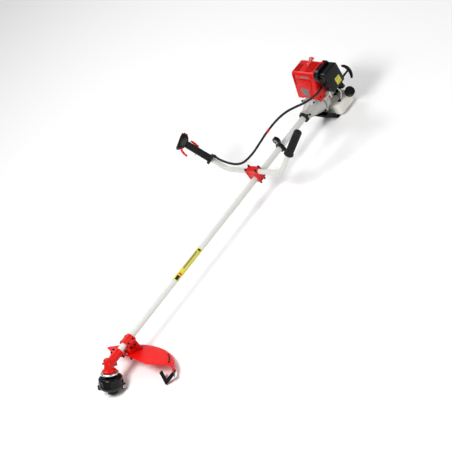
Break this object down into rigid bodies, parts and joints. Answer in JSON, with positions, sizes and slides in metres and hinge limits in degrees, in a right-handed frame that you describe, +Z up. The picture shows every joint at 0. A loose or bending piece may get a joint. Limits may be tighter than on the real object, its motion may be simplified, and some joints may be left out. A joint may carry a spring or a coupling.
{
  "type": "petrol string trimmer",
  "caption": "Petrol string trimmer with cowhorn handlebar, red guard and line head on a straight pale tube, and a rear two-stroke engine on a tank stand.",
  "frame": {"origin": "On the floor, under the centre of the trimmer's box, with the trimmer lying as it rests: tube level, guard rim, bump knob and tank stand on the floor.", "axes": "+X runs along the tube from the line head to the engine; +Z is up, the side away from the floor; +Y is the user's right-hand side, where the throttle grip is."},
  "size_m": [1.9562, 0.6696, 0.3552],
  "materials": {
    "red_plastic": "glossy moulded red",
    "black_plastic": "satin moulded black",
    "black_rubber": "matte ribbed rubber",
    "white_tube": "pale silver-white coated tube",
    "cast_alloy": "sand-cast, lightly blasted",
    "steel": "machined and ground",
    "tank_plastic": "translucent milky polythene",
    "white_plastic": "smooth white plastic",
    "rope": "braided cord",
    "filter_felt": "open foam"
  },
  "bodies": {
    "frame": {"main_tube": "white_tube", "shaft_bush_1": "black_plastic", "shaft_bush_2": "black_plastic", "gear_case": "red_plastic", "guard_shield": "red_plastic", "line_blade": "steel", "line_bracket": "black_plastic", "guard_clamp": "red_plastic", "guard_mount": "red_plastic", "bar_clamp_cap": "red_plastic", "bar_clamp_middle": "red_plastic", "bar_clamp_shoe": "red_plastic", "handlebar_right": "white_tube", "throttle_grip": "black_plastic", "throttle_housing": "black_plastic", "handlebar_left": "white_tube", "left_grip": "black_rubber", "harness_clamp": "black_plastic", "tube_collar": "black_rubber", "clutch_housing": "cast_alloy", "fan_housing": "cast_alloy", "crankcase": "cast_alloy", "cylinder": "cast_alloy", "spark_plug": "white_plastic", "engine_shroud": "red_plastic", "spark_boot": "red_plastic", "starter_cover": "black_plastic", "starter_rope": "rope", "carburettor": "cast_alloy", "filter_cover": "black_plastic", "filter_element": "filter_felt", "filter_base": "black_plastic", "muffler": "steel", "fuel_tank": "tank_plastic", "tank_stand": "black_plastic", "throttle_cable": "black_plastic"},
    "drive_line": {"drive_shaft": "steel", "drive_pinion": "steel", "clutch_drum": "steel"},
    "cutter_head": {"output_gear": "steel", "output_shaft": "steel", "blade_flange": "steel", "head_housing": "black_plastic", "head_cover": "black_plastic"},
    "bump_spool": {"line_spool": "white_plastic", "bump_knob": "black_plastic"},
    "crank": {"crankshaft": "steel", "flywheel": "cast_alloy", "clutch_rotor": "steel"},
    "piston": {"piston": "cast_alloy"},
    "trigger": {"throttle_trigger": "red_plastic"},
    "lockout": {"throttle_lockout": "red_plastic"},
    "stop_switch": {"stop_switch": "red_plastic"},
    "carb_lever": {"carb_lever": "steel"},
    "starter_handle": {"starter_handle": "black_plastic"},
    "starter_pulley": {"starter_pulley": "white_plastic"},
    "fuel_cap": {"fuel_cap": "black_plastic"},
    "filter_knob": {"filter_knob": "red_plastic"},
    "choke_lever": {"choke_lever": "black_plastic"},
    "primer_bulb": {"primer_bulb": "black_rubber"}
  },
  "joints": [
    {"name": "drive_spin", "type": "hinge", "parent": "frame", "child": "drive_line", "pos_m": [-0.88573, -0.03232, 0.126], "axis": [1, 0, 0], "continuous": true},
    {"name": "head_spin", "type": "hinge", "parent": "frame", "child": "cutter_head", "pos_m": [-0.88573, -0.03232, 0.126], "axis": [0.4695, 0, 0.8829], "continuous": true},
    {"name": "bump_press", "type": "slide", "parent": "cutter_head", "child": "bump_spool", "axis": [0.4695, 0, 0.8829], "range_m": [0, 0.006], "stiffness_N_per_m": 2500, "springref_m": -0.03},
    {"name": "crank_spin", "type": "hinge", "parent": "frame", "child": "crank", "pos_m": [-0.88573, -0.03232, 0.126], "axis": [1, 0, 0], "continuous": true},
    {"name": "piston_stroke", "type": "slide", "parent": "frame", "child": "piston", "axis": [0, 0, 1], "range_m": [-0.026, 0]},
    {"name": "throttle_squeeze", "type": "hinge", "parent": "frame", "child": "trigger", "pos_m": [0.19733, 0.30187, 0.31177], "axis": [-0.0875, -0.7668, 0.6359], "range_deg": [0, 16], "stiffness_Nm_per_rad": 0.08, "springref_deg": -20.05},
    {"name": "lockout_press", "type": "hinge", "parent": "frame", "child": "lockout", "pos_m": [0.2555, 0.26067, 0.2701], "axis": [-0.0875, -0.7668, 0.6359], "range_deg": [0, 5], "stiffness_Nm_per_rad": 0.15, "springref_deg": -8.59},
    {"name": "switch_slide", "type": "slide", "parent": "frame", "child": "stop_switch", "axis": [-0.1297, 0.6417, 0.7559], "range_m": [0, 0.005]},
    {"name": "carb_throttle", "type": "hinge", "parent": "frame", "child": "carb_lever", "pos_m": [0.78197, -0.09312, 0.202], "axis": [1, 0, 0], "range_deg": [0, 42]},
    {"name": "starter_pull", "type": "slide", "parent": "frame", "child": "starter_handle", "axis": [1, 0, 0], "range_m": [0, 0.6], "stiffness_N_per_m": 15, "springref_m": -0.3, "deforming": ["starter_rope"]},
    {"name": "pulley_turn", "type": "hinge", "parent": "frame", "child": "starter_pulley", "pos_m": [-0.88573, -0.03232, 0.126], "axis": [1, 0, 0], "range_deg": [0, 1330]},
    {"name": "fuel_cap_turn", "type": "hinge", "parent": "frame", "child": "fuel_cap", "pos_m": [0.87827, -0.10032, 0.06], "axis": [0, -0.7071, 0.7071], "range_deg": [0, 150]},
    {"name": "filter_knob_turn", "type": "hinge", "parent": "frame", "child": "filter_knob", "pos_m": [0.82217, -0.11752, 0.3003], "axis": [0, 0, 1], "range_deg": [0, 180]},
    {"name": "choke_turn", "type": "hinge", "parent": "frame", "child": "choke_lever", "pos_m": [0.85157, -0.13182, 0.214], "axis": [-1, 0, 0], "range_deg": [0, 70]},
    {"name": "primer_press", "type": "slide", "parent": "frame", "child": "primer_bulb", "axis": [0, 0, 1], "range_m": [0, 0.005], "stiffness_N_per_m": 400, "springref_m": -0.002, "deforming": ["primer_bulb"]}
  ],
  "couplings": [
    {"joint": "head_spin", "follows": "drive_spin", "ratio": -0.73684},
    {"joint": "carb_throttle", "follows": "throttle_squeeze", "ratio": 2.5},
    {"joint": "pulley_turn", "follows": "starter_pull", "rad_per_m": 38.46}
  ]
}
